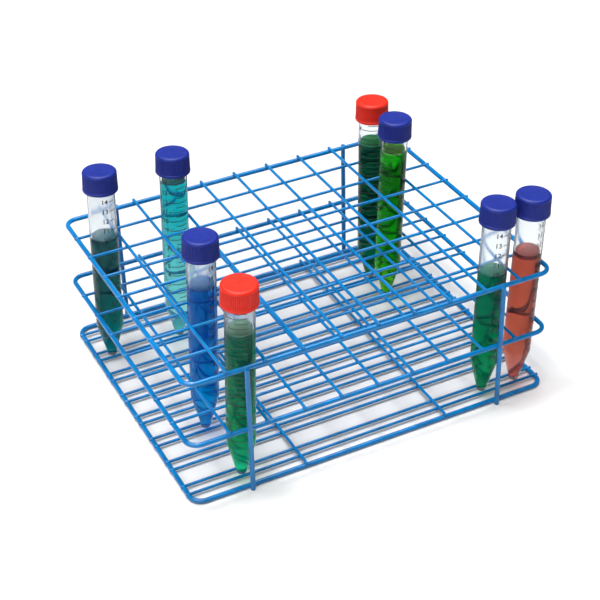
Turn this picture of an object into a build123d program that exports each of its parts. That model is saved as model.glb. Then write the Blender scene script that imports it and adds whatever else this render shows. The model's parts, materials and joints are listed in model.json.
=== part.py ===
from build123d import *
import os

# Epoxy-coated wire rack of 10 x 8 cells, holding eight capped 15 ml conical tubes.
# Millimetres. The origin is on the bench, under the middle of the rack.
# +X runs along the long wires, +Y from the front to the back, +Z up.

# ---- cells: one tube each, two shelves deep ----
column_count = 10
row_count = 8
column_pitch = 22.2
row_pitch = 22.7

# ---- rods and wires, each with its coating ----
rod_d = 2.8
wire_d = 1.75
rim_corner_radius = 7.0
lower_shelf_gap = 38.7
upper_shelf_gap = 40.0
long_wire_rise = 0.75
crossing_sink = 0.4
post_sink = 0.3
long_wire_overhang = 0.5
cross_wire_overhang = 0.2
cradle_gap = 7.2
brace_columns_from_middle = 2
post_cells_from_side = 1.5
post_top_above_rim = 0.6
rod_end_round = 0.3
wire_end_round = 0.5

# ---- tube ----
tube_d = 16.2
tube_length = 122.1
tube_wall = 1.0
tip_d = 5.2
tip_round = 0.7
tip_wall = 2.0
cone_height = 22.0
neck_step = 0.2
neck_height = 10.6
mouth_round = 0.25

# ---- cap and its sealing disc ----
cap_wall = 1.55
cap_height = 12.3
cap_top = 1.5
cap_taper = 0.3
cap_edge_round = 1.6
thread_height = 0.6
thread_clearance = 0.2
liner_thickness = 0.8
liner_side_gap = 0.25
face_gap = 0.05

# ---- clearances ----
cradle_clearance = 0.1
lean_gap = 0.25
liquid_gap = 0.02

# ---- where each tube stands: number, column, row, slide of its tip along the cradle, ----
# ---- how far it leans to the right and to the back (1 is onto the wire), fill height ----
standing_tubes = (
    (1, 1, 7, -1.8, 1.0, 1.0, 82.5),
    (2, 3, 7, -1.8, 1.0, 0.8, 107.5),
    (3, 2, 3, -1.8, 1.0, 0.8, 95.0),
    (4, 2, 1, -0.5, 1.0, -1.0, 97.0),
    (5, 9, 7, -0.5, 0.8, 1.0, 97.5),
    (6, 9, 6, -1.2, 1.0, -0.2, 104.0),
    (7, 9, 1, -1.8, 0.9, 0.3, 81.5),
    (8, 10, 1, -1.8, 1.0, -0.1, 88.5),
)

# ---- worked out from the above ----
rod_r = rod_d / 2
wire_r = wire_d / 2
half_length = column_count * column_pitch / 2
half_depth = row_count * row_pitch / 2
bottom_rim_z = rod_r
middle_rim_z = bottom_rim_z + lower_shelf_gap
top_rim_z = middle_rim_z + upper_shelf_gap
cross_wire_rise = long_wire_rise + wire_d - crossing_sink
long_wire_length = 2 * (half_length + rod_r + long_wire_overhang)
cross_wire_length = 2 * (half_depth + rod_r + cross_wire_overhang)
post_y = half_depth + rod_d - post_sink
post_x = half_length - post_cells_from_side * column_pitch
tube_r = tube_d / 2
tip_r = tip_d / 2
bore_r = tube_r - tube_wall
neck_r = tube_r - neck_step
cap_bore_r = neck_r + thread_height + thread_clearance
cap_r = cap_bore_r + cap_wall
liner_r = cap_bore_r - liner_side_gap
cone_slope = (tube_r - tip_r) / cone_height
wall_foot = tube_wall * (1 + cone_slope ** 2) ** 0.5


def column_x(line):
    """X of a line between columns: 0 is the left rim, column_count the right one."""
    return line * column_pitch - half_length


def row_y(line):
    """Y of a line between rows: 0 is the front rim, row_count the back one."""
    return line * row_pitch - half_depth


def rod(length, diameter, end_round):
    """A straight round rod along Z, centred, with its two ends rounded over."""
    bar = Cylinder(diameter / 2, length)
    return fillet(bar.edges().filter_by(GeomType.CIRCLE), end_round)


def long_wire(y, z):
    """A wire that runs the length of the rack, along X."""
    return Pos(0, y, z) * Rot(0, 90, 0) * rod(long_wire_length, wire_d, wire_end_round)


def cross_wire(x, z):
    """A wire that runs from the front rim to the back one, along Y."""
    return Pos(x, 0, z) * Rot(90, 0, 0) * rod(cross_wire_length, wire_d, wire_end_round)


def rim(z):
    """A rod bent round the shelf into a closed rounded rectangle."""
    path = RectangleRounded(2 * half_length, 2 * half_depth, rim_corner_radius).wire()
    section = Plane(origin=path @ 0, z_dir=path % 0) * Circle(rod_r)
    return Pos(0, 0, z) * sweep(section, path=path)


def post(x, y):
    """An upright rod, from the bench to just above the middle of the top rim."""
    height = top_rim_z + post_top_above_rim
    return Pos(x, y, height / 2) * rod(height, rod_d, rod_end_round)


def save(node, solids):
    """Write one node's solids to its own STEP file."""
    shape = solids[0] if len(solids) == 1 else Compound(children=solids)
    export_step(shape, f"parts/{node}.step")


# ---- tube, cap, liner and liquid, each upright with the tube's tip at the origin ----

def tube_shape():
    """A conical tube: blunt tip, cone, straight barrel and a thinner neck inside the cap."""
    neck_z = tube_length - neck_height
    bore_floor_r = tip_r + cone_slope * tip_wall - wall_foot
    with BuildPart() as tube:
        with BuildSketch(Plane.XZ):
            with BuildLine():
                Polyline(
                    (0, 0),
                    (tip_r, 0),
                    (tube_r, cone_height),
                    (tube_r, neck_z),
                    (neck_r, neck_z),
                    (neck_r, tube_length),
                    (bore_r, tube_length),
                    (bore_r, cone_height),
                    (bore_floor_r, tip_wall),
                    (0, tip_wall),
                    close=True,
                )
            make_face()
        revolve(axis=Axis.Z)
        fillet(tube.edges().group_by(Axis.Z)[0], tip_round)
        fillet(tube.edges().group_by(Axis.Z)[-1], mouth_round)
    return tube.part


def cap_shape():
    """A screw cap: a slightly tapered skirt under a flat top with a rounded edge."""
    top_z = tube_length + liner_thickness + 2 * face_gap + cap_top
    with BuildPart() as cap:
        with BuildSketch(Plane.XZ):
            with BuildLine():
                Polyline(
                    (0, top_z),
                    (cap_r - cap_taper, top_z),
                    (cap_r, top_z - cap_height),
                    (cap_bore_r, top_z - cap_height),
                    (cap_bore_r, top_z - cap_top),
                    (0, top_z - cap_top),
                    close=True,
                )
            make_face()
        revolve(axis=Axis.Z)
        fillet(cap.edges().group_by(Axis.Z)[-1], cap_edge_round)
    return cap.part


def liner_shape():
    """The sealing disc between the tube's mouth and the cap's top."""
    middle = tube_length + face_gap + liner_thickness / 2
    return Pos(0, 0, middle) * Cylinder(liner_r, liner_thickness)


def liquid_blank():
    """The tube's whole inside, up to its mouth, before it is cut at the liquid's surface."""
    floor_z = tip_wall + liquid_gap
    floor_r = tip_r + cone_slope * tip_wall - wall_foot - liquid_gap
    side_r = bore_r - liquid_gap
    with BuildPart() as liquid:
        with BuildSketch(Plane.XZ):
            with BuildLine():
                Polyline(
                    (0, floor_z),
                    (floor_r, floor_z),
                    (side_r, cone_height),
                    (side_r, tube_length),
                    (0, tube_length),
                    close=True,
                )
            make_face()
        revolve(axis=Axis.Z)
    return liquid.part


# ---- how a tube stands in its cell ----

def side_slack(cell, cells, pitch, lean):
    """Room between a centred tube and what it leans on: a rim beside an end cell, or a wire."""
    on_rim = (cell == 1 and lean < 0) or (cell == cells and lean > 0)
    stop_r = rod_r if on_rim else wire_r
    return pitch / 2 - stop_r - tube_r - lean_gap


def cradle_seat_z():
    """Height of the tip where the cone rests on its row's two cradle wires."""
    angle_factor = (1 + cone_slope ** 2) ** 0.5
    seat_r = cradle_gap / 2 - (wire_r + cradle_clearance) * angle_factor
    seat_above_tip = (seat_r - tip_r) / cone_slope
    return bottom_rim_z + long_wire_rise - seat_above_tip


def standing_plane(column, row, tip_slide, lean_right, lean_back):
    """The tube's own plane: its origin at the tip, its Z up the leaning tube."""
    x = column_x(column - 0.5)
    y = row_y(row - 0.5)
    tip = Vector(x + tip_slide, y, cradle_seat_z())
    right = lean_right * side_slack(column, column_count, column_pitch, lean_right)
    back = lean_back * side_slack(row, row_count, row_pitch, lean_back)
    at_top_shelf = Vector(x + right, y + back, top_rim_z + long_wire_rise)
    return Plane(origin=tip, x_dir=(1, 0, 0), z_dir=at_top_shelf - tip)


def level_below(height):
    """Everything below a level surface at this height above the bench."""
    reach = 4 * (half_length + half_depth)
    return Pos(0, 0, height - reach / 2) * Box(reach, reach, reach)


# ---- build ----

os.makedirs("parts", exist_ok=True)

for shelf, z in (("top", top_rim_z), ("middle", middle_rim_z), ("bottom", bottom_rim_z)):
    save(f"{shelf}_rim", [rim(z)])

for side, x in (("left", -post_x), ("right", post_x)):
    save(f"post_front_{side}", [post(x, -post_y)])
    save(f"post_back_{side}", [post(x, post_y)])

for shelf, z in (("top", top_rim_z), ("middle", middle_rim_z)):
    long_wires = [long_wire(row_y(line), z + long_wire_rise) for line in range(1, row_count)]
    cross_z = z + cross_wire_rise
    cross_wires = [cross_wire(column_x(line), cross_z) for line in range(1, column_count)]
    if shelf == "top":
        for number, wire in enumerate(long_wires, start=1):
            save(f"top_long_wire_{number}", [wire])
        for number, wire in enumerate(cross_wires, start=1):
            save(f"top_cross_wire_{number}", [wire])
    else:
        save("middle_long_wires", long_wires)
        save("middle_cross_wires", cross_wires)

cradle_wires = [
    long_wire(row_y(row - 0.5) + side * cradle_gap / 2, bottom_rim_z + long_wire_rise)
    for row in range(1, row_count + 1)
    for side in (-1, 1)
]
save("bottom_cradle_wires", cradle_wires)

brace_x = brace_columns_from_middle * column_pitch
braces = [cross_wire(side * brace_x, bottom_rim_z + cross_wire_rise) for side in (-1, 1)]
save("bottom_brace_wires", braces)

tube = tube_shape()
cap = cap_shape()
liner = liner_shape()
blank = liquid_blank()
for number, column, row, tip_slide, lean_right, lean_back, fill in standing_tubes:
    stand = standing_plane(column, row, tip_slide, lean_right, lean_back)
    surface_z = (stand.origin + stand.z_dir * fill).Z
    liquid = (stand.location * blank) & level_below(surface_z)
    save(f"tube_{number}", [stand.location * tube])
    save(f"tube_{number}_cap", [stand.location * cap])
    save(f"tube_{number}_liner", [stand.location * liner])
    save(f"tube_{number}_liquid", [liquid])
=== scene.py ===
"""Looks for a coated wire rack that holds eight capped conical tubes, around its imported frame."""

import json
import logging
import math
from collections.abc import Callable, Sequence
from dataclasses import dataclass
from enum import Enum
from typing import Any

import bmesh
import bpy
from mathutils import Matrix, Vector


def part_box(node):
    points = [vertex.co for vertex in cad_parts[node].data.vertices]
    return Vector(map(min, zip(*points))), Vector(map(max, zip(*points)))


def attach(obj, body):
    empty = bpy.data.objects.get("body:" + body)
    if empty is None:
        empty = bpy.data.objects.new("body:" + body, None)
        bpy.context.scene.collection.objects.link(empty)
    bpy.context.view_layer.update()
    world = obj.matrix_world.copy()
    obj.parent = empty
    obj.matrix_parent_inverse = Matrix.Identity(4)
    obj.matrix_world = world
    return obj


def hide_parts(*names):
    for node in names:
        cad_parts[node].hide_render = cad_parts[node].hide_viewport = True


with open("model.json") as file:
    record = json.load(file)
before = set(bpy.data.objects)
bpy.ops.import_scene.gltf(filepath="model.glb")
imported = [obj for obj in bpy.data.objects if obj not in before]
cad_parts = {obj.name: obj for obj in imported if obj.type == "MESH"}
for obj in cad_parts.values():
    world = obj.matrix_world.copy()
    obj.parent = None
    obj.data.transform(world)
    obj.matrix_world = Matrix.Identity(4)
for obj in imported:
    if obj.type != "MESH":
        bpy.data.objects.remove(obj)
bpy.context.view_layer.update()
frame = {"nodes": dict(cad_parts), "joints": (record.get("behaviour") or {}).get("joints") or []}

MM = 0.001
ROUND = 96               # faces round a tube, a cap or a liquid
CREASE = 38.0            # edges sharper than this, in degrees, stay sharp
LOG = logging.getLogger("tube_rack")

Material = bpy.types.Material
Mesh = bpy.types.Mesh
Node = bpy.types.Node
Socket = bpy.types.NodeSocket
Tree = bpy.types.NodeTree
Values = dict[Any, Any]
Sizes = bpy.types.NodeOutputs
Stop = tuple[float, str]
Span = tuple[float, float]
Point = tuple[float, float, float]
Colour = tuple[float, float, float, float]


# ---- small tools ----

def linear(hex_colour: str) -> Colour:
    """Turn an sRGB hex colour into linear values.

    Args:
        hex_colour: Six hex digits after a hash.

    Returns:
        Red, green, blue and an alpha of one.
    """
    channels = [int(hex_colour[i:i + 2], 16) / 255 for i in (1, 3, 5)]
    red, green, blue = (c / 12.92 if c <= 0.04045 else ((c + 0.055) / 1.055) ** 2.4 for c in channels)
    return red, green, blue, 1.0


def add_node(
    tree: Tree,
    kind: str,
    settings: Values | None = None,
    inputs: Values | None = None,
    stops: Sequence[Stop] = (),
) -> Node:
    """Add a node with its settings and its inputs.

    Args:
        tree: The node tree that gets the node.
        kind: The node's type name.
        settings: The node's own properties.
        inputs: A value for each named or numbered input, or the output that it is linked to.
        stops: The stops of its colour ramp in order, if it has one.

    Returns:
        The new node.
    """
    node = tree.nodes.new(kind)
    for name, value in (settings or {}).items():
        setattr(node, name, value)
    for key, value in (inputs or {}).items():
        if isinstance(value, Socket):
            tree.links.new(value, node.inputs[key])
        else:
            node.inputs[key].default_value = value
    if stops:
        elements = node.color_ramp.elements
        for element, (position, colour) in zip(elements, (stops[0], stops[-1])):
            element.position = position
            element.color = linear(colour)
        for position, colour in stops[1:-1]:
            elements.new(position).color = linear(colour)
    return node


def softened(corners: Sequence[Point], steps: int = 5) -> list[Span]:
    """Round the corners of a lathe profile.

    Args:
        corners: Radius, height and rounding of each corner, in millimetres.
        steps: Pieces in each rounding.

    Returns:
        Radius and height of each point, in millimetres.
    """
    points: list[Span] = []
    for i, (r, z, rounding) in enumerate(corners):
        here = Vector((r, z))
        if rounding <= 0 or i in (0, len(corners) - 1):
            points.append((r, z))
            continue
        before = (Vector(corners[i - 1][:2]) - here).normalized()
        after = (Vector(corners[i + 1][:2]) - here).normalized()
        half = before.angle(after) / 2
        reach = rounding / math.tan(half)
        start, end = here + before * reach, here + after * reach
        centre = here + (before + after).normalized() * (rounding / math.sin(half))
        for k in range(steps + 1):
            share = k / steps
            spoke = (start - centre).lerp(end - centre, share).normalized() * rounding
            points.append(tuple(centre + spoke))
    return points


def lathe(profile: Sequence[Span], segments: int) -> bmesh.types.BMesh:
    """Spin a profile round the Z axis into a closed shell with its faces outwards.

    Args:
        profile: Radius and height of each point, in millimetres, anticlockwise from the axis to the axis.
        segments: Faces round the axis.

    Returns:
        The shell, in metres.
    """
    shell = bmesh.new()
    rings: list[list[bmesh.types.BMVert]] = []
    for r, z in profile:
        if r < 1e-6:
            rings.append([shell.verts.new((0.0, 0.0, z * MM))])
            continue
        turns = [2 * math.pi * k / segments for k in range(segments)]
        rings.append([shell.verts.new((r * MM * math.cos(a), r * MM * math.sin(a), z * MM)) for a in turns])
    for low, high in zip(rings, rings[1:]):
        for k in range(segments):
            n = (k + 1) % segments
            if len(low) == 1:
                shell.faces.new((low[0], high[n], high[k]))
            elif len(high) == 1:
                shell.faces.new((low[k], low[n], high[0]))
            else:
                shell.faces.new((low[k], low[n], high[n], high[k]))
    return shell


def as_mesh(name: str, shell: bmesh.types.BMesh) -> Mesh:
    """Write a bmesh to a new mesh and free it.

    Args:
        name: The mesh's name.
        shell: The bmesh, which can't be used afterwards.

    Returns:
        The new mesh.
    """
    mesh = bpy.data.meshes.new(name)
    shell.to_mesh(mesh)
    shell.free()
    return mesh


def joined(name: str, meshes: Sequence[Mesh]) -> Mesh:
    """Put several meshes into one and delete them.

    Args:
        name: The new mesh's name.
        meshes: The meshes, which keep their places.

    Returns:
        The new mesh.
    """
    whole = bmesh.new()
    for mesh in meshes:
        whole.from_mesh(mesh)
        bpy.data.meshes.remove(mesh)
    return as_mesh(name, whole)


def place(
    name: str, mesh: Mesh, finish: Material, body: str, stands_for: Sequence[str] = (),
) -> None:
    """Make a piece of a finished mesh and let it ride on its body.

    Args:
        name: The piece's name.
        mesh: Its mesh, in place.
        finish: Its material.
        body: The body that it rides on.
        stands_for: The nodes that it replaces.
    """
    mesh.materials.clear()
    mesh.materials.append(finish)
    mesh.polygons.foreach_set("use_smooth", [True] * len(mesh.polygons))
    mesh.set_sharp_from_angle(angle=math.radians(CREASE))
    piece = bpy.data.objects.new(name, mesh)
    bpy.context.scene.collection.objects.link(piece)
    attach(piece, body)
    if stands_for:
        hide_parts(*stands_for)
    LOG.info("%s: %d faces on %s", name, len(mesh.polygons), body)


# ---- finishes ----

def begun(name: str) -> tuple[Material, Tree, Socket]:
    """Start a material with an empty tree.

    Args:
        name: The material's name.

    Returns:
        The material, its tree and the coordinates that its patterns go by.
    """
    finish = bpy.data.materials.new(name)
    finish.use_nodes = True
    tree = finish.node_tree
    tree.nodes.clear()
    return finish, tree, add_node(tree, "ShaderNodeTexCoord").outputs["Object"]


def finished(finish: Material, inputs: Values, shadow: Socket | Colour | None = None) -> Material:
    """Give a material its skin and end its tree.

    Args:
        finish: The material.
        inputs: The skin's inputs by name.
        shadow: The tint of the light that lamps shine through it, if they do.

    Returns:
        The material.
    """
    tree = finish.node_tree
    skin = add_node(tree, "ShaderNodeBsdfPrincipled", inputs=inputs).outputs[0]
    if shadow is not None:
        passed = add_node(tree, "ShaderNodeBsdfTransparent", inputs={"Color": shadow})
        path = add_node(tree, "ShaderNodeLightPath")
        both = {0: path.outputs["Is Shadow Ray"], 1: skin, 2: passed.outputs[0]}
        skin = add_node(tree, "ShaderNodeMixShader", inputs=both).outputs[0]
    add_node(tree, "ShaderNodeOutputMaterial", inputs={"Surface": skin})
    return finish


@dataclass(frozen=True)
class CoatedWire:
    """Epoxy powder coat on steel wire: a thick, glossy, even blue skin with a slight orange peel."""

    colour: str = "#006EAC"
    shade: str = "#005F99"
    pools_per_metre: float = 110.0
    peel_size: float = 1.6
    peel_depth: float = 0.06
    gloss: Span = (0.08, 0.22)

    def material(self) -> Material:
        """Build the material.

        Returns:
            The material.
        """
        finish, tree, place_on = begun("epoxy_coated_steel_wire")
        # the coat pools and thins along a wire, which shifts its blue slightly every centimetre or so
        pool = add_node(
            tree, "ShaderNodeTexNoise",
            inputs={"Vector": place_on, "Scale": self.pools_per_metre, "Detail": 2.0},
        )
        blue = add_node(
            tree, "ShaderNodeValToRGB", inputs={"Fac": pool.outputs["Fac"]},
            stops=((0.35, self.shade), (0.65, self.colour)),
        )
        # orange peel breaks the long highlight on each wire into soft uneven lengths
        peel = add_node(
            tree, "ShaderNodeTexNoise",
            inputs={"Vector": place_on, "Scale": 1 / (self.peel_size * MM), "Detail": 1.0},
        )
        gloss = add_node(
            tree, "ShaderNodeMapRange",
            inputs={"Value": peel.outputs["Fac"], "To Min": self.gloss[0], "To Max": self.gloss[1]},
        )
        dents = add_node(
            tree, "ShaderNodeBump",
            inputs={"Strength": 0.25, "Distance": self.peel_depth * MM, "Height": peel.outputs["Fac"]},
        )
        return finished(finish, {
            "Base Color": blue.outputs["Color"],
            "Roughness": gloss.outputs["Result"],
            "IOR": 1.5,
            "Specular IOR Level": 0.28,
            "Coat Weight": 0.3,
            "Coat Roughness": 0.04,
            "Normal": dents.outputs["Normal"],
        })


@dataclass(frozen=True)
class MouldedCap:
    """Injection-moulded polyethylene: a waxy satin skin, with the fine grain of a spark-eroded mould."""

    name: str
    colour: str
    shade: str
    flows_per_metre: float = 160.0
    grain_size: float = 0.45
    grain_depth: float = 0.03
    satin: Span = (0.41, 0.57)

    def material(self) -> Material:
        """Build the material.

        Returns:
            The material.
        """
        finish, tree, place_on = begun(self.name)
        # pigment that flowed unevenly as the mould filled
        flow = add_node(
            tree, "ShaderNodeTexNoise",
            inputs={"Vector": place_on, "Scale": self.flows_per_metre, "Detail": 3.0, "Distortion": 0.6},
        )
        tint = add_node(
            tree, "ShaderNodeValToRGB", inputs={"Fac": flow.outputs["Fac"]},
            stops=((0.3, self.shade), (0.7, self.colour)),
        )
        # the real grain is about 0.1 mm, too fine to show, so it is drawn four times as coarse
        grain = add_node(
            tree, "ShaderNodeTexNoise",
            inputs={"Vector": place_on, "Scale": 1 / (self.grain_size * MM), "Detail": 2.0},
        )
        satin = add_node(
            tree, "ShaderNodeMapRange",
            inputs={"Value": grain.outputs["Fac"], "To Min": self.satin[0], "To Max": self.satin[1]},
        )
        dents = add_node(
            tree, "ShaderNodeBump",
            inputs={"Strength": 0.3, "Distance": self.grain_depth * MM, "Height": grain.outputs["Fac"]},
        )
        return finished(finish, {
            "Base Color": tint.outputs["Color"],
            "Roughness": satin.outputs["Result"],
            "IOR": 1.51,
            "Specular IOR Level": 0.3,
            "Normal": dents.outputs["Normal"],
        })


@dataclass(frozen=True)
class ClearPlastic:
    """Moulded clear polypropylene: glassy where it is wet inside, faintly milky where it is dry."""

    tint: str = "#F3F6F7"
    shadow: Colour = (0.93, 0.94, 0.95, 1.0)
    haze_size: float = 3.0
    ragged_edge: float = 8.0
    dry_from: float = 3.0
    dry_by: float = 13.0
    wet_roughness: float = 0.04
    dry_roughness: float = 0.18
    bending: float = 1.15

    def material(self, surface_z: float, haze: float) -> Material:
        """Build the material.

        Args:
            surface_z: Height of the liquid's surface, in metres.
            haze: How milky the dry wall is, from none to one.

        Returns:
            The material.
        """
        finish, tree, place_on = begun("clear_polypropylene")
        # haze from uneven cooling, in patches of a few millimetres
        patches = add_node(
            tree, "ShaderNodeTexNoise",
            inputs={"Vector": place_on, "Scale": 1 / (self.haze_size * MM), "Detail": 2.0},
        )
        # liquid hides the haze of the inner face, so the wall clears at the surface, along a ragged edge
        height = add_node(tree, "ShaderNodeSeparateXYZ", inputs={"Vector": place_on}).outputs["Z"]
        ragged = add_node(
            tree, "ShaderNodeMath", {"operation": "MULTIPLY_ADD"},
            {0: patches.outputs["Fac"], 1: self.ragged_edge * MM, 2: height},
        )
        dry = add_node(
            tree, "ShaderNodeMapRange",
            inputs={
                "Value": ragged.outputs[0],
                "From Min": surface_z + self.dry_from * MM, "From Max": surface_z + self.dry_by * MM,
            },
        )
        gloss, clear = (
            add_node(
                tree, "ShaderNodeMapRange",
                inputs={"Value": dry.outputs["Result"], "To Min": wet_value, "To Max": dry_value},
            )
            for wet_value, dry_value in ((self.wet_roughness, self.dry_roughness), (1.0, 1 - haze))
        )
        skin = {
            "Base Color": linear(self.tint),
            "Roughness": gloss.outputs["Result"],
            "IOR": self.bending,
            "Specular IOR Level": 0.5,
            "Transmission Weight": clear.outputs["Result"],
        }
        # lamps shine through it, so that its shadow stays as pale as a clear tube's
        return finished(finish, skin, self.shadow)


@dataclass(frozen=True)
class DyedWater:
    """Water with a dye: clear, strongly coloured, paler where the cone makes it thin, with painted reflection
    on top.
    """

    name: str
    # colour of the painted reflection on the level top, then of the painted ring at the meniscus
    film: str
    rim: str
    top: str
    middle: str
    foot: str
    brim: str = ""
    # how far below the surface the painted meniscus ring reaches
    rim_depth: float = 1.1
    body_share: float = 0.14
    # how much the painted reflection covers the clear liquid, and how far a face must tilt up to get it
    film_share: float = 0.5
    film_tilt: float = 0.3
    # painted refraction streaks: how many to a metre and how far they shift the colour
    streaks_per_metre: float = 190.0
    streak_shift: float = 0.14

    def material(self, low_z: float, high_z: float) -> Material:
        """Build the material.

        Args:
            low_z: Height of the liquid's lowest point, in metres.
            high_z: Height of its surface, in metres.

        Returns:
            The material.
        """
        finish, tree, place_on = begun(self.name)
        height = add_node(tree, "ShaderNodeSeparateXYZ", inputs={"Vector": place_on}).outputs["Z"]
        # painted refraction: long soft streaks that run up the tube, standing in for what is seen bent
        # through the liquid
        stretch = add_node(
            tree, "ShaderNodeMapping", inputs={"Vector": place_on, "Scale": (1.0, 1.0, 0.25)},
        )
        painted_refraction_streaks = add_node(
            tree, "ShaderNodeTexNoise",
            inputs={
                "Vector": stretch.outputs["Vector"], "Scale": self.streaks_per_metre,
                "Detail": 2.0, "Distortion": 0.8,
            },
        )
        depth = add_node(
            tree, "ShaderNodeMapRange", inputs={"Value": height, "From Min": low_z, "From Max": high_z},
        )
        swirl = add_node(
            tree, "ShaderNodeMath", {"operation": "MULTIPLY_ADD"},
            {0: painted_refraction_streaks.outputs["Fac"], 1: self.streak_shift, 2: depth.outputs["Result"]},
        )
        centred = add_node(
            tree, "ShaderNodeMath", {"operation": "SUBTRACT"},
            {0: swirl.outputs[0], 1: self.streak_shift / 2},
        )
        stops = [(0.03, self.foot), (0.24, self.middle), (0.75, self.top)]
        if self.brim:
            stops += [(0.92, self.top), (0.94, self.brim)]
        dye = add_node(tree, "ShaderNodeValToRGB", inputs={"Fac": centred.outputs[0]}, stops=stops)
        # painted reflection on the level surface, and a painted ring below it where the meniscus climbs the
        # wall: painted shade in the darker dyes, painted glare in the paler ones
        facing = add_node(tree, "ShaderNodeNewGeometry").outputs["Normal"]
        upward = add_node(tree, "ShaderNodeSeparateXYZ", inputs={"Vector": facing}).outputs["Z"]
        on_painted_surface, on_painted_ring = (
            add_node(tree, "ShaderNodeMath", {"operation": "GREATER_THAN"}, {0: value, 1: edge}).outputs[0]
            for value, edge in ((upward, self.film_tilt), (height, high_z - self.rim_depth * MM))
        )
        colour = dye.outputs["Color"]
        for where, over in ((on_painted_ring, self.rim), (on_painted_surface, self.film)):
            layers = {"Factor": where, "A": colour, "B": linear(over)}
            colour = add_node(tree, "ShaderNodeMix", {"data_type": "RGBA"}, layers).outputs["Result"]
        clear = add_node(
            tree, "ShaderNodeMapRange",
            inputs={"Value": on_painted_surface, "To Min": 1 - self.body_share, "To Max": 1 - self.film_share},
        )
        skin = {
            "Base Color": colour,
            "Roughness": 0.03,
            "IOR": 1.33,
            "Specular IOR Level": 0.3,
            "Specular Tint": linear(self.middle),
            "Transmission Weight": clear.outputs["Result"],
        }
        return finished(finish, skin, dye.outputs["Color"])


@dataclass(frozen=True)
class PrintedInk:
    """Screen-printed black ink: matt, with a slightly uneven cover."""

    colour: str = "#15171A"
    worn: str = "#2C3036"
    mesh_size: float = 0.5

    def material(self) -> Material:
        """Build the material.

        Returns:
            The material.
        """
        finish, tree, place_on = begun("screen_printed_black_ink")
        # the screen's mesh leaves the cover uneven
        mesh_mark = add_node(
            tree, "ShaderNodeTexNoise",
            inputs={"Vector": place_on, "Scale": 1 / (self.mesh_size * MM), "Detail": 1.0},
        )
        black = add_node(
            tree, "ShaderNodeValToRGB", inputs={"Fac": mesh_mark.outputs["Fac"]},
            stops=((0.0, self.colour), (1.0, self.worn)),
        )
        return finished(finish, {"Base Color": black.outputs["Color"], "Roughness": 0.6})


@dataclass(frozen=True)
class FoamLiner:
    """Closed-cell polyethylene foam disc: white, soft and finely pitted."""

    colour: str = "#F1F1EC"
    # painted shade at the bottom of each cell's pit
    pit: str = "#D9D9D2"
    cell_size: float = 0.5
    pit_depth: float = 0.05

    def material(self) -> Material:
        """Build the material.

        Returns:
            The material.
        """
        finish, tree, place_on = begun("polyethylene_foam_liner")
        # the foam's cells, with painted shade in their pits
        cells = add_node(
            tree, "ShaderNodeTexVoronoi", inputs={"Vector": place_on, "Scale": 1 / (self.cell_size * MM)},
        )
        white = add_node(
            tree, "ShaderNodeValToRGB", inputs={"Fac": cells.outputs["Distance"]},
            stops=((0.0, self.pit), (1.0, self.colour)),
        )
        dents = add_node(
            tree, "ShaderNodeBump",
            inputs={"Strength": 0.4, "Distance": self.pit_depth * MM, "Height": cells.outputs["Distance"]},
        )
        return finished(finish, {
            "Base Color": white.outputs["Color"], "Roughness": 0.8, "Normal": dents.outputs["Normal"],
        })


@dataclass(frozen=True)
class StudioSweep:
    """Matt white paper: even, with a barely visible tooth, and a painted soft shadow that greys it under and
    behind the rack.
    """

    colour: str = "#D0D0D0"
    tooth: str = "#CCCCCD"
    tooth_per_metre: float = 900.0
    # painted shadow under and behind the rack: its grey, its middle, its reach and its soft edge, in metres
    shelter: str = "#BBBCBE"
    shelter_middle: Point = (0.0175, 0.0725, 0.0)
    shelter_reach: Point = (0.1075, 0.1425, 1.0)
    shelter_edge: float = 0.026

    def material(self) -> Material:
        """Build the material.

        Returns:
            The material.
        """
        finish, tree, place_on = begun("matt_white_paper")
        grain = add_node(
            tree, "ShaderNodeTexNoise",
            inputs={"Vector": place_on, "Scale": self.tooth_per_metre, "Detail": 2.0},
        )
        white = add_node(
            tree, "ShaderNodeValToRGB", inputs={"Fac": grain.outputs["Fac"]},
            stops=((0.0, self.tooth), (1.0, self.colour)),
        )
        # how far each point is from the rectangle of painted shadow under and behind the rack
        aside = place_on
        for operation, by in (
            ("SUBTRACT", self.shelter_middle),
            ("ABSOLUTE", (0.0, 0.0, 0.0)),
            ("SUBTRACT", self.shelter_reach),
            ("MAXIMUM", (0.0, 0.0, 0.0)),
        ):
            step = add_node(tree, "ShaderNodeVectorMath", {"operation": operation}, {0: aside, 1: by})
            aside = step.outputs[0]
        gap = add_node(tree, "ShaderNodeVectorMath", {"operation": "LENGTH"}, {0: aside})
        in_painted_shadow = add_node(
            tree, "ShaderNodeMapRange", {"interpolation_type": "SMOOTHSTEP"},
            {"Value": gap.outputs["Value"], "From Min": self.shelter_edge, "From Max": 0.0},
        )
        # painted shadow: the paper turns grey under and behind the rack, fading over a soft edge
        paper = add_node(
            tree, "ShaderNodeMix", {"data_type": "RGBA"},
            {"Factor": in_painted_shadow.outputs["Result"], "A": white.outputs["Color"], "B": linear(self.shelter)},
        )
        return finished(finish, {
            "Base Color": paper.outputs["Result"], "Roughness": 0.9, "Specular IOR Level": 0.2,
        })


# ---- what repeats: node trees ----

class Repeat(Enum):
    """The repeated details that node trees make."""

    WELD_BEADS = "weld_beads"
    CAP_RIBS = "cap_ribs"
    SCALE_TICKS = "scale_ticks"


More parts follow.
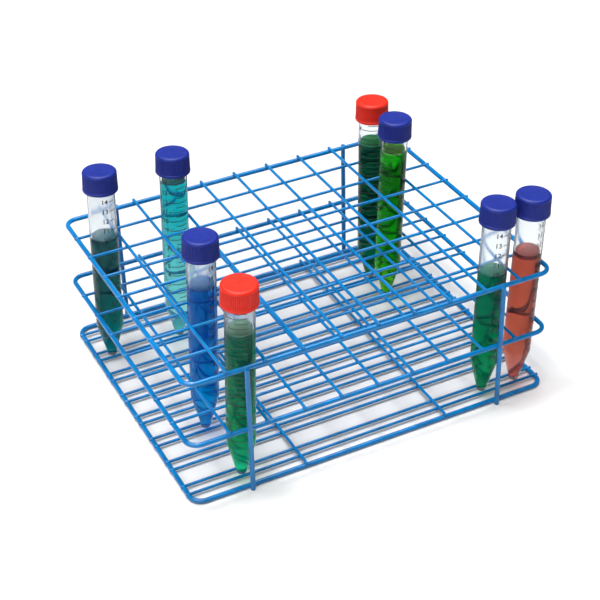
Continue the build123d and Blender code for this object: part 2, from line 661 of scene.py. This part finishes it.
class RepeatBench:
    """Builds each node tree once and turns it into plain meshes."""

    def __init__(self) -> None:
        """Start with no trees."""
        self.trees: dict[Repeat, Tree] = {}
        self.makers: dict[Repeat, tuple[Callable[[Tree, Sizes], Values], dict[str, str]]] = {
            Repeat.WELD_BEADS: (self._weld_beads, {
                "Columns": "Int", "Rows": "Int", "Width": "Float", "Depth": "Float",
                "Bead": "Vector", "Middle": "Vector",
            }),
            Repeat.CAP_RIBS: (self._cap_ribs, {
                "Count": "Int", "Ring Radius": "Float", "Rib Radius": "Float",
                "Rib Length": "Float", "Lean": "Float", "Height": "Float",
            }),
            Repeat.SCALE_TICKS: (self._scale_ticks, {
                "Count": "Int", "Pitch": "Float", "First": "Float", "Radius": "Float",
                "Start": "Float", "Sweep": "Float", "Line": "Float", "Ink": "Float",
            }),
        }

    def grow(self, repeat: Repeat, finish: Material, **values: Any) -> Mesh:
        """Run a tree and keep its result.

        Args:
            repeat: Which detail to make.
            finish: The material that the tree sets.
            **values: The tree's inputs by name, with _ for a space.

        Returns:
            A plain mesh.
        """
        tree = self.trees.get(repeat) or self._tree(repeat)
        bare = bpy.data.meshes.new("holder")
        holder = bpy.data.objects.new("holder", bare)
        bpy.context.scene.collection.objects.link(holder)
        modifier = holder.modifiers.new("grow", "NODES")
        modifier.node_group = tree
        sockets = {
            item.name: item.identifier
            for item in tree.interface.items_tree
            if item.item_type == "SOCKET" and item.in_out == "INPUT"
        }
        modifier[sockets["Finish"]] = finish
        for name, value in values.items():
            modifier[sockets[name.replace("_", " ").title()]] = value
        depsgraph = bpy.context.evaluated_depsgraph_get()
        mesh = bpy.data.meshes.new_from_object(holder.evaluated_get(depsgraph))
        bpy.data.objects.remove(holder)
        bpy.data.meshes.remove(bare)
        return mesh

    def _tree(self, repeat: Repeat) -> Tree:
        """Build a tree with its named inputs, and its ending in Realize Instances and Set Material.

        Args:
            repeat: Which detail the tree makes.

        Returns:
            The tree.
        """
        tree = bpy.data.node_groups.new(repeat.value, "GeometryNodeTree")
        tree.interface.new_socket("Finish", in_out="INPUT", socket_type="NodeSocketMaterial")
        make, sizes = self.makers[repeat]
        for name, kind in sizes.items():
            tree.interface.new_socket(name, in_out="INPUT", socket_type=f"NodeSocket{kind}")
        tree.interface.new_socket("Geometry", in_out="OUTPUT", socket_type="NodeSocketGeometry")
        given = add_node(tree, "NodeGroupInput")
        copies = add_node(tree, "GeometryNodeInstanceOnPoints", inputs=make(tree, given.outputs))
        real = add_node(
            tree, "GeometryNodeRealizeInstances", inputs={"Geometry": copies.outputs["Instances"]},
        )
        dressed = add_node(
            tree, "GeometryNodeSetMaterial",
            inputs={"Geometry": real.outputs[0], "Material": given.outputs["Finish"]},
        )
        add_node(tree, "NodeGroupOutput", inputs={"Geometry": dressed.outputs[0]})
        self.trees[repeat] = tree
        return tree

    def _weld_beads(self, tree: Tree, size: Sizes) -> Values:
        """Beads on a grid, where wires cross.

        Args:
            tree: The tree to build in.
            size: Its inputs by name.

        Returns:
            The points and what goes on them.
        """
        grid = add_node(
            tree, "GeometryNodeMeshGrid",
            inputs={
                "Size X": size["Width"], "Size Y": size["Depth"],
                "Vertices X": size["Columns"], "Vertices Y": size["Rows"],
            },
        )
        ball = add_node(tree, "GeometryNodeMeshIcoSphere", inputs={"Radius": 1.0, "Subdivisions": 2})
        there, bead = (
            add_node(
                tree, "GeometryNodeTransform",
                inputs={"Geometry": shape.outputs["Mesh"], how: size[name]},
            )
            for shape, how, name in ((grid, "Translation", "Middle"), (ball, "Scale", "Bead"))
        )
        return {"Points": there.outputs[0], "Instance": bead.outputs[0]}

    def _cap_ribs(self, tree: Tree, size: Sizes) -> Values:
        """Upright grip ribs round a cap, leaning in with its taper.

        Args:
            tree: The tree to build in.
            size: Its inputs by name.

        Returns:
            The points and what goes on them.
        """
        ring = add_node(
            tree, "GeometryNodeMeshCircle", inputs={"Vertices": size["Count"], "Radius": size["Ring Radius"]},
        )
        lift = add_node(tree, "ShaderNodeCombineXYZ", inputs={"Z": size["Height"]})
        there = add_node(
            tree, "GeometryNodeTransform",
            inputs={"Geometry": ring.outputs["Mesh"], "Translation": lift.outputs[0]},
        )
        rib = add_node(
            tree, "GeometryNodeMeshCylinder",
            inputs={"Vertices": 10, "Radius": size["Rib Radius"], "Depth": size["Rib Length"]},
        )
        order = add_node(tree, "GeometryNodeInputIndex")
        step = add_node(tree, "ShaderNodeMath", {"operation": "DIVIDE"}, {0: 2 * math.pi, 1: size["Count"]})
        turn = add_node(
            tree, "ShaderNodeMath", {"operation": "MULTIPLY"}, {0: order.outputs[0], 1: step.outputs[0]},
        )
        pose = add_node(tree, "ShaderNodeCombineXYZ", inputs={"Y": size["Lean"], "Z": turn.outputs[0]})
        return {"Points": there.outputs[0], "Instance": rib.outputs["Mesh"], "Rotation": pose.outputs[0]}

    def _scale_ticks(self, tree: Tree, size: Sizes) -> Values:
        """Printed arcs, one above another up a tube.

        Args:
            tree: The tree to build in.
            size: Its inputs by name.

        Returns:
            The points and what goes on them.
        """
        start, offset = (
            add_node(tree, "ShaderNodeCombineXYZ", inputs={"Z": size[name]}).outputs[0]
            for name in ("First", "Pitch")
        )
        stack = add_node(
            tree, "GeometryNodeMeshLine", {"mode": "OFFSET"},
            {"Count": size["Count"], "Start Location": start, "Offset": offset},
        )
        arc = add_node(
            tree, "GeometryNodeCurveArc", {"mode": "RADIUS"},
            {
                "Resolution": 14, "Radius": size["Radius"],
                "Start Angle": size["Start"], "Sweep Angle": size["Sweep"],
            },
        )
        stroke = add_node(
            tree, "GeometryNodeCurvePrimitiveQuadrilateral",
            inputs={"Width": size["Ink"], "Height": size["Line"]},
        )
        tick = add_node(
            tree, "GeometryNodeCurveToMesh",
            inputs={
                "Curve": arc.outputs["Curve"], "Profile Curve": stroke.outputs["Curve"],
                "Fill Caps": True,
            },
        )
        return {"Points": stack.outputs["Mesh"], "Instance": tick.outputs["Mesh"]}


# ---- the rack ----

@dataclass(frozen=True)
class BeadRow:
    """A grid of weld beads: how many, how far apart and how large, in millimetres."""

    columns: int
    rows: int
    width: float
    depth: float
    middle: Point
    bead: Point


@dataclass
class WireRack:
    """The welded frame. Its rods and wires are the frame's own nodes; the coat's webs are added here."""

    bench: RepeatBench
    columns: int = 10
    rows: int = 8
    column_pitch: float = 22.2
    row_pitch: float = 22.7
    rim_heights: Point = (1.4, 40.1, 80.1)
    rod_d: float = 2.8
    long_wire_rise: float = 0.75
    cross_wire_rise: float = 2.1
    cradle_gap: float = 7.2
    brace_x: float = 44.4
    post_x: float = 77.7
    crossing_bead: Point = (1.25, 1.25, 0.8)
    cradle_bead: Point = (1.2, 1.2, 0.8)
    cross_end_bead: Point = (1.4, 1.35, 0.85)
    long_end_bead: Point = (1.5, 1.3, 1.15)
    cradle_end_bead: Point = (1.5, 1.2, 1.1)
    post_bead: Point = (1.5, 0.95, 1.35)
    cross_end_rise: float = 1.25

    def dress(self, finish: Material) -> None:
        """Give the rods and wires their coat.

        Args:
            finish: The coat.
        """
        for name, node in frame["nodes"].items():
            if not name.startswith("tube_"):
                for slot in node.material_slots:
                    slot.material = finish

    def build(self, finish: Material) -> None:
        """Add the webs of coating where wires meet, one piece for each shelf.

        Args:
            finish: The coat.
        """
        self.dress(finish)
        low, middle, top = self.rim_heights
        shelves = {
            "top": self.shelf_beads(top) + self.post_beads(top),
            "middle": self.shelf_beads(middle) + self.post_beads(middle),
            "bottom": self.floor_beads(low) + self.post_beads(low),
        }
        for shelf, beads in shelves.items():
            meshes = [self.bead_mesh(row, finish) for row in beads]
            place(f"{shelf}_weld_webs", joined(f"{shelf}_weld_webs", meshes), finish, "rack")

    def bead_mesh(self, row: BeadRow, finish: Material) -> Mesh:
        """Grow one grid of beads.

        Args:
            row: The grid.
            finish: The coat.

        Returns:
            The beads' mesh.
        """
        return self.bench.grow(
            Repeat.WELD_BEADS, finish,
            columns=row.columns, rows=row.rows, width=row.width * MM, depth=row.depth * MM,
            bead=[v * MM for v in row.bead], middle=[v * MM for v in row.middle],
        )

    def shelf_beads(self, rim_z: float) -> list[BeadRow]:
        """The beads of a shelf of crossed wires.

        Args:
            rim_z: Height of the middle of its rim, in millimetres.

        Returns:
            Grids for the crossings, the front and back ends, and the side ends.
        """
        inner_width = (self.columns - 2) * self.column_pitch
        inner_depth = (self.rows - 2) * self.row_pitch
        full_width = self.columns * self.column_pitch
        full_depth = self.rows * self.row_pitch
        contact = rim_z + (self.long_wire_rise + self.cross_wire_rise) / 2
        across, deep = self.columns - 1, self.rows - 1
        long_end = (0, 0, rim_z + self.long_wire_rise)
        cross_end = (0, 0, rim_z + self.cross_end_rise)
        return [
            BeadRow(across, deep, inner_width, inner_depth, (0, 0, contact), self.crossing_bead),
            BeadRow(across, 2, inner_width, full_depth, cross_end, self.cross_end_bead),
            BeadRow(2, deep, full_width, inner_depth, long_end, self.long_end_bead),
        ]

    def floor_beads(self, rim_z: float) -> list[BeadRow]:
        """The beads of the bottom shelf, where pairs of wires cradle the tips.

        Args:
            rim_z: Height of the middle of its rim, in millimetres.

        Returns:
            Grids for the pairs' ends, the braces' crossings and the braces' ends.
        """
        width = self.columns * self.column_pitch
        depth = (self.rows - 1) * self.row_pitch
        full_depth = self.rows * self.row_pitch
        end_z = rim_z + self.long_wire_rise
        contact = rim_z + (self.long_wire_rise + self.cross_wire_rise) / 2
        cross_end = (0, 0, rim_z + self.cross_end_rise)
        beads = [BeadRow(2, 2, 2 * self.brace_x, full_depth, cross_end, self.cross_end_bead)]
        for side in (-1, 1):
            y = side * self.cradle_gap / 2
            beads.append(BeadRow(2, self.rows, width, depth, (0, y, end_z), self.cradle_end_bead))
            beads.append(BeadRow(2, self.rows, 2 * self.brace_x, depth, (0, y, contact), self.cradle_bead))
        return beads

    def post_beads(self, rim_z: float) -> list[BeadRow]:
        """The beads that join the posts to a rim.

        Args:
            rim_z: Height of the middle of the rim, in millimetres.

        Returns:
            One grid of four.
        """
        joint_depth = self.rows * self.row_pitch + self.rod_d
        return [BeadRow(2, 2, 2 * self.post_x, joint_depth, (0, 0, rim_z), self.post_bead)]


# ---- the tubes ----

@dataclass(frozen=True)
class Stand:
    """Where a tube stands: the middle of its tip and its leaning axis, in metres."""

    tip: Vector
    axis: Vector

    def matrix(self) -> Matrix:
        """Work out the tube's own frame.

        Returns:
            The frame, with its origin at the tip and its Z up the tube.
        """
        across = Vector((0, 1, 0)).cross(self.axis).normalized()
        along = self.axis.cross(across)
        turn = Matrix((across, along, self.axis)).transposed()
        return Matrix.Translation(self.tip) @ turn.to_4x4()


@dataclass
class ConicalTube:
    """One capped tube: shell with its thread, printed scale, liquid and ribbed cap. Sizes in millimetres."""

    bench: RepeatBench
    number: int
    dye: DyedWater
    cap_slot: str
    liquid_slot: str
    scale_turn: float
    haze: float
    barrel_r: float = 8.1
    wall: float = 1.0
    length: float = 122.1
    cone: float = 22.0
    tip_r: float = 2.6
    tip_wall: float = 2.0
    neck_r: float = 7.9
    neck: float = 10.6
    thread_pitch: float = 3.0
    thread_height: float = 0.55
    thread_turns: float = 1.5
    thread_start: float = 2.4
    cap_r: float = 10.25
    cap_bore_r: float = 8.7
    cap_height: float = 12.3
    cap_top: float = 1.5
    cap_taper: float = 0.3
    cap_total: float = 124.5
    rib_count: int = 62
    rib_r: float = 0.34
    rib_sink: float = 0.44
    rib_foot: float = 1.3
    rib_top: float = 1.7
    skirt_sink: float = 0.42
    shoulder_round: float = 1.6
    dish_r: float = 7.4
    dish_depth: float = 0.06
    turn_origin: float = 122.9
    scale_top: float = 107.5
    scale_pitch: float = 6.15
    scale_numbers: int = 14
    number_size: float = 4.0
    number_swell: float = 0.06
    long_tick: Span = (4.0, 78.0)
    short_tick: Span = (34.0, 48.0)
    tick_line: float = 0.42
    ink: float = 0.05
    meniscus: float = 1.5
    wall_overlap: float = 0.04

    def stand(self) -> Stand:
        """Find where the tube stands from its cap's turning joint.

        Returns:
            Its stand.
        """
        joints = {joint["name"]: joint for joint in frame["joints"]}
        turn = joints[f"cap_{self.number}_turn"]
        axis = Vector(turn["axis"]).normalized()
        return Stand(Vector(turn["pos_m"]) - axis * (self.turn_origin * MM), axis)

    def fill(self) -> float:
        """Find how high the liquid stands in the tube, from the frame.

        Returns:
            How far up the tube's axis its surface is, in millimetres.
        """
        stand = self.stand()
        surface_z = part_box(f"tube_{self.number}_liquid")[1].z
        return (surface_z - stand.tip.z) / stand.axis.z / MM

    def build(self, finishes: dict[str, Material]) -> None:
        """Build the tube's pieces and let them ride.

        Args:
            finishes: The materials by slot, with ink for the scale.
        """
        name = f"tube_{self.number}"
        there = self.stand().matrix()
        shell = joined(f"{name}_shell", [self.shell_mesh(), self.thread_mesh()])
        shell.transform(there)
        low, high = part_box(f"{name}_liquid")
        plastic = ClearPlastic().material(high.z, self.haze)
        place(f"{name}_shell", shell, plastic, name, [name])
        scale = self.scale_mesh(finishes["ink"])
        scale.transform(there)
        place(f"{name}_scale", scale, finishes["ink"], name)
        liquid = self.liquid_mesh()
        liquid.transform(there)
        dye = self.dye.material(low.z, high.z)
        place(f"{name}_fill", liquid, dye, name, [f"{name}_liquid"])
        cap = joined(f"{name}_ribbed_cap", [self.cap_mesh(), self.rib_mesh(finishes[self.cap_slot])])
        cap.transform(there)
        place(
            f"{name}_ribbed_cap", cap, finishes[self.cap_slot], f"cap_{self.number}",
            [f"{name}_cap"],
        )
        for slot in frame["nodes"][f"{name}_liner"].material_slots:
            slot.material = finishes["liner"]

    def slope(self) -> float:
        """How far the cone widens for each millimetre of height."""
        return (self.barrel_r - self.tip_r) / self.cone

    def bore_floor_r(self) -> float:
        """Radius of the bore's flat floor."""
        return self.tip_r + self.slope() * self.tip_wall - self.wall * math.hypot(1, self.slope())

    def shell_mesh(self) -> Mesh:
        """Lathe the clear wall, with a blunt tip and a rounded mouth.

        Returns:
            The wall's mesh, upright with its tip at the origin.
        """
        bore_r = self.barrel_r - self.wall
        shoulder = self.length - self.neck
        profile = softened([
            (0, 0, 0),
            (self.tip_r, 0, 0.7),
            (self.barrel_r, self.cone, 3.0),
            (self.barrel_r, shoulder, 0.08),
            (self.neck_r, shoulder, 0.08),
            (self.neck_r, self.length, 0.25),
            (bore_r, self.length, 0.25),
            (bore_r, self.cone, 3.0),
            (self.bore_floor_r(), self.tip_wall, 0.5),
            (0, self.tip_wall, 0),
        ])
        return as_mesh("shell", lathe(profile, ROUND))

    def thread_mesh(self) -> Mesh:
        """Sweep the neck's screw thread: a rounded ridge of one and a half turns that fades at its ends.

        Returns:
            The ridge's mesh.
        """
        ridge = bmesh.new()
        foot_z = self.length - self.neck + self.thread_start
        rings: list[list[bmesh.types.BMVert]] = []
        for k in range(ROUND + 1):
            share = k / ROUND
            angle = 2 * math.pi * self.thread_turns * share
            # it fades over the first and last eighth
            fade = min(1.0, share * 8, (1 - share) * 8) * 0.9 + 0.1
            z = foot_z + self.thread_pitch * self.thread_turns * share
            ring = []
            for across, out in ((-0.75, -0.2), (-0.3, fade), (0.3, fade), (0.75, -0.2)):
                r = self.neck_r + self.thread_height * out
                ring.append(ridge.verts.new((
                    r * MM * math.cos(angle), r * MM * math.sin(angle), (z + across) * MM,
                )))
            rings.append(ring)
        for near, far in zip(rings, rings[1:]):
            for i in range(4):
                n = (i + 1) % 4
                ridge.faces.new((near[i], far[i], far[n], near[n]))
        ridge.faces.new(rings[0])
        ridge.faces.new(rings[-1][::-1])
        bmesh.ops.recalc_face_normals(ridge, faces=ridge.faces)
        return as_mesh("thread", ridge)

    def wrap(self, mesh: Mesh, turn: float, height: float) -> None:
        """Bend a flat mesh in XY round the barrel, upright, with its Z outwards.

        Args:
            mesh: The mesh, in metres.
            turn: Angle of its middle round the tube, in radians.
            height: Height of its origin up the tube, in millimetres.
        """
        r = self.barrel_r * MM
        for vertex in mesh.vertices:
            x, y, z = vertex.co
            angle = turn + x / r
            vertex.co = ((r + z) * math.cos(angle), (r + z) * math.sin(angle), height * MM + y)

    def number_mesh(self, number: int, turn: float, height: float) -> Mesh:
        """Make one printed number on the barrel.

        Args:
            number: The number.
            turn: Angle of its middle round the tube, in radians.
            height: Height of its middle up the tube, in millimetres.

        Returns:
            The number's mesh, just proud of the wall.
        """
        curve = bpy.data.curves.new("number", "FONT")
        curve.body = str(number)
        curve.size = self.number_size * MM
        curve.align_x = "RIGHT"
        curve.align_y = "CENTER"
        curve.extrude = self.ink * MM / 2
        curve.offset = self.number_swell * MM
        curve.resolution_u = 3
        text = bpy.data.objects.new("number", curve)
        bpy.context.scene.collection.objects.link(text)
        depsgraph = bpy.context.evaluated_depsgraph_get()
        mesh = bpy.data.meshes.new_from_object(text.evaluated_get(depsgraph))
        bpy.data.objects.remove(text)
        bpy.data.curves.remove(curve)
        solid = bmesh.new()
        solid.from_mesh(mesh)
        bmesh.ops.remove_doubles(solid, verts=solid.verts, dist=0.001 * MM)
        solid.to_mesh(mesh)
        solid.free()
        mesh.transform(Matrix.Translation((0, 0, self.ink * MM)))
        self.wrap(mesh, turn, height)
        return mesh

    def scale_mesh(self, ink: Material) -> Mesh:
        """Print the scale: numbers, a long tick at each and a short one half way between.

        Args:
            ink: The scale's material.

        Returns:
            The scale's mesh.
        """
        start = math.radians(self.scale_turn)
        lowest = self.scale_top - self.scale_pitch * (self.scale_numbers - 1)
        meshes = [
            self.bench.grow(
                Repeat.SCALE_TICKS, ink,
                count=self.scale_numbers, pitch=self.scale_pitch * MM, first=first * MM,
                radius=(self.barrel_r + self.ink) * MM, start=start + math.radians(turn),
                sweep=math.radians(sweep), line=self.tick_line * MM, ink=self.ink * MM,
            )
            for first, (turn, sweep) in (
                (lowest, self.long_tick), (lowest + self.scale_pitch / 2, self.short_tick),
            )
        ]
        for number in range(1, self.scale_numbers + 1):
            height = lowest + self.scale_pitch * (number - 1)
            meshes.append(self.number_mesh(number, start, height))
        return joined("scale", meshes)

    def liquid_mesh(self) -> Mesh:
        """Lathe the liquid, level on top however the tube leans, with a meniscus that climbs the wall.

        It overlaps the wall slightly, so that no air shows between them.

        Returns:
            The liquid's mesh.
        """
        fill, creep, sink = self.fill(), self.meniscus, self.wall_overlap
        side_r = self.barrel_r - self.wall + sink
        floor_z = self.tip_wall - sink
        foot = softened([
            (0, floor_z, 0),
            (self.bore_floor_r() + sink, floor_z, 0.5),
            (side_r, self.cone, 3.0),
            (side_r, fill, 0),
        ])
        surface = [
            (side_r * share, fill + creep * (math.exp((share - 1) * 7) - 1))
            for share in (0.97, 0.93, 0.86, 0.76, 0.6, 0.35)
        ]
        shell = lathe([*foot, *surface, (0.0, fill - creep)], ROUND)
        up = self.stand().matrix().to_3x3().transposed() @ Vector((0, 0, 1))
        for vertex in shell.verts:
            if vertex.co.z > (fill - creep - 0.01) * MM:
                vertex.co.z -= (vertex.co.x * up.x + vertex.co.y * up.y) / up.z
        return as_mesh("liquid", shell)

    def cap_mesh(self) -> Mesh:
        """Lathe the cap: rounded shoulder, skirt sunk for its ribs, smooth band below, gate mark on top.

        Returns:
            The cap's mesh, without its ribs.
        """
        top = self.cap_total
        bottom = top - self.cap_height
        inside = top - self.cap_top
        sunk = self.cap_r - self.skirt_sink
        dish = top - self.dish_depth
        edge_r = self.cap_r - self.cap_taper
        profile = softened([
            (0, inside, 0),
            (self.cap_bore_r, inside, 0.3),
            (self.cap_bore_r, bottom, 0.2),
            (self.cap_r, bottom, 0.3),
            (self.cap_r - 0.02, bottom + 1.5, 0.2),
            (sunk, bottom + 1.8, 0),
            (sunk - self.cap_taper + 0.06, top - 2.1, 0),
            (edge_r, top - 1.8, 0),
            (edge_r, top, self.shoulder_round),
            (self.dish_r, top, 0.3),
            (self.dish_r - 0.2, dish, 0.3),
            (1.6, dish, 0),
            (0.8, dish, 0),
            (0.7, top - 0.2, 0),
            (0.35, top - 0.2, 0),
            (0.28, top - 0.08, 0),
            (0, top - 0.08, 0),
        ])
        return as_mesh("cap", lathe(profile, ROUND))

    def rib_mesh(self, finish: Material) -> Mesh:
        """Grow the cap's grip ribs.

        Args:
            finish: The cap's material.

        Returns:
            The ribs' mesh.
        """
        low = self.cap_total - self.cap_height + self.rib_foot
        high = self.cap_total - self.rib_top
        return self.bench.grow(
            Repeat.CAP_RIBS, finish,
            count=self.rib_count, ring_radius=(self.cap_r - self.cap_taper / 2 - self.rib_sink) * MM,
            rib_radius=self.rib_r * MM, rib_length=(high - low) * MM,
            lean=-math.atan(self.cap_taper / self.cap_height), height=(low + high) / 2 * MM,
        )


# ---- the studio ----

@dataclass
class Studio:
    """Plain floor, soft overhead light and the camera, in metres and degrees.

    Powers are in watts, and the key's is for each square metre.
    """

    floor_size: float = 6.0
    camera_at: Point = (-0.31594, -0.64808, 0.53774)
    camera_to: Point = (-0.00460, -0.00689, 0.04775)
    camera_roll: float = -1.58
    lens: float = 89.0
    sky: float = 0.13
    backdrop: float = 1.3
    key_at: Point = (0.1, 0.3, 1.6)
    key_strength: float = 4.0
    key_spread: float = 50.0
    fill_at: Point = (-0.9, -0.7, 1.1)
    fill_size: float = 1.5
    fill_power: float = 18.0
    glint_at: Point = (-0.15, 0.1, 1.4)
    glint_size: float = 0.16
    glint_power: float = 10.0
    lit_point: Point = (0.0, 0.0, 0.04)

    def build(self) -> None:
        """Set the floor, lights, sky and camera."""
        self.lay_floor()
        self.shine_key()
        self.hang_light("fill_softbox", self.fill_at, self.fill_size, self.fill_power)
        self.hang_light("glint_lamp", self.glint_at, self.glint_size, self.glint_power)
        self.light_sky()
        self.set_camera()
        bpy.context.scene.view_settings.view_transform = "Standard"

    def lay_floor(self) -> None:
        """Lay one flat sheet at the rack's foot."""
        half = self.floor_size / 2
        corners = [(-half, -half, 0), (half, -half, 0), (half, half, 0), (-half, half, 0)]
        sheet = bpy.data.meshes.new("floor")
        sheet.from_pydata(corners, [], [(0, 1, 2, 3)])
        sheet.materials.append(StudioSweep().material())
        floor = bpy.data.objects.new("floor", sheet)
        bpy.context.scene.collection.objects.link(floor)

    def aim(self, name: str, data: bpy.types.ID, at: Point, to: Point, roll: float = 0.0) -> bpy.types.Object:
        """Stand a lamp or a camera at its place, facing a point.

        Args:
            name: The new object's name.
            data: The lamp or the camera.
            at: Its place.
            to: The point that it faces.
            roll: How far it is turned about its own axis.

        Returns:
            The new object.
        """
        thing = bpy.data.objects.new(name, data)
        thing.location = at
        thing.rotation_mode = "QUATERNION"
        facing = (Vector(to) - Vector(at)).to_track_quat("-Z", "Y")
        thing.rotation_quaternion = facing @ Matrix.Rotation(math.radians(roll), 3, "Z").to_quaternion()
        bpy.context.scene.collection.objects.link(thing)
        return thing

    def shine_key(self) -> None:
        """Light the whole floor evenly from a broad patch of sky."""
        lamp = bpy.data.lights.new("key_light", "SUN")
        lamp.energy = self.key_strength
        lamp.angle = math.radians(self.key_spread)
        self.aim("key_light", lamp, self.key_at, (0.0, 0.0, 0.0))

    def hang_light(self, name: str, at: Point, size: float, power: float) -> None:
        """Hang a square softbox that faces the rack.

        Args:
            name: The light's name.
            at: Its place.
            size: Its side.
            power: Its power.
        """
        lamp = bpy.data.lights.new(name, "AREA")
        lamp.shape = "SQUARE"
        lamp.size = size
        lamp.energy = power
        self.aim(name, lamp, at, self.lit_point)

    def light_sky(self) -> None:
        """Surround the scene with even dim light, and with a white backdrop that only the camera sees."""
        world = bpy.data.worlds.new("studio")
        world.use_nodes = True
        tree = world.node_tree
        tree.nodes.clear()
        path = add_node(tree, "ShaderNodeLightPath")
        strength = add_node(
            tree, "ShaderNodeMapRange",
            inputs={"Value": path.outputs["Is Camera Ray"], "To Min": self.sky, "To Max": self.backdrop},
        )
        glow = add_node(tree, "ShaderNodeBackground", inputs={"Strength": strength.outputs["Result"]})
        add_node(tree, "ShaderNodeOutputWorld", inputs={"Surface": glow.outputs[0]})
        bpy.context.scene.world = world

    def set_camera(self) -> None:
        """Stand the camera at its place and make it the scene's."""
        lens = bpy.data.cameras.new("camera")
        lens.lens = self.lens
        lens.sensor_width = 36.0
        lens.clip_start, lens.clip_end = 0.01, 20.0
        camera = self.aim("camera", lens, self.camera_at, self.camera_to, self.camera_roll)
        bpy.context.scene.camera = camera


# ---- what stands in the rack ----

# name, painted reflection on the surface, painted meniscus ring at the wall, the body's colour from its top
# to its foot, and any thin brim
DARK_TEAL = DyedWater("dark_teal_water", "#126E7C", "#0C2A2E", "#1A4A4A", "#005C5A", "#00B0B0", rim_depth=1.5)
CYAN = DyedWater("cyan_water", "#2FBCC0", "#0A7078", "#10B0B6", "#80DCDA", "#C4F2EE")
BLUE = DyedWater("blue_water", "#0078BC", "#1458B0", "#0A6CBA", "#0084D2", "#14BCE6")
DEEP_GREEN = DyedWater("deep_green_water", "#4C9472", "#9CC4B0", "#107650", "#00A864", "#00DC9A")
BOTTLE_GREEN = DyedWater("bottle_green_water", "#009C4C", "#7CC8A0", "#003C26", "#004E32", "#008456")
LIME_GREEN = DyedWater("lime_green_water", "#6CC020", "#C0E0A0", "#0A640A", "#0AA608", "#70E410", "#12C40A")
GREEN = DyedWater("green_water", "#0C7260", "#084434", "#006446", "#009458", "#00B872")
ORANGE_RED = DyedWater(
    "orange_red_water", "#B8605C", "#3C1A28", "#AC4C3A", "#C45C46", "#F09A8C", rim_depth=2.4,
)

# number, dye, cap slot, liquid slot, turn of the scale's numbers in degrees, haze of the dry wall
TUBES = (
    (1, DARK_TEAL, "blue_cap", "dark_teal_liquid", -82.0, 0.16),
    (2, CYAN, "blue_cap", "cyan_liquid", -138.0, 0.05),
    (3, BLUE, "blue_cap", "blue_liquid", -60.0, 0.10),
    (4, DEEP_GREEN, "red_cap", "deep_green_liquid", -168.0, 0.08),
    (5, BOTTLE_GREEN, "red_cap", "bottle_green_liquid", -170.0, 0.04),
    (6, LIME_GREEN, "blue_cap", "lime_green_liquid", -202.0, 0.03),
    (7, GREEN, "blue_cap", "green_liquid", -97.0, 0.08),
    (8, ORANGE_RED, "blue_cap", "orange_red_liquid", -66.0, 0.06),
)


def main() -> None:
    """Build everything in order."""
    logging.basicConfig(level=logging.INFO, format="%(name)s %(message)s")
    bench = RepeatBench()
    finishes = {
        "coated_wire": CoatedWire().material(),
        "blue_cap": MouldedCap("blue_moulded_polyethylene", "#0A217C", "#071C72").material(),
        "red_cap": MouldedCap("red_moulded_polyethylene", "#D0210A", "#C61C07").material(),
        "liner": FoamLiner().material(),
        "ink": PrintedInk().material(),
    }
    WireRack(bench).build(finishes["coated_wire"])
    for number, dye, cap_slot, liquid_slot, turn, haze in TUBES:
        ConicalTube(bench, number, dye, cap_slot, liquid_slot, turn, haze).build(finishes)
    Studio().build()


if __name__ == "__main__":
    main()
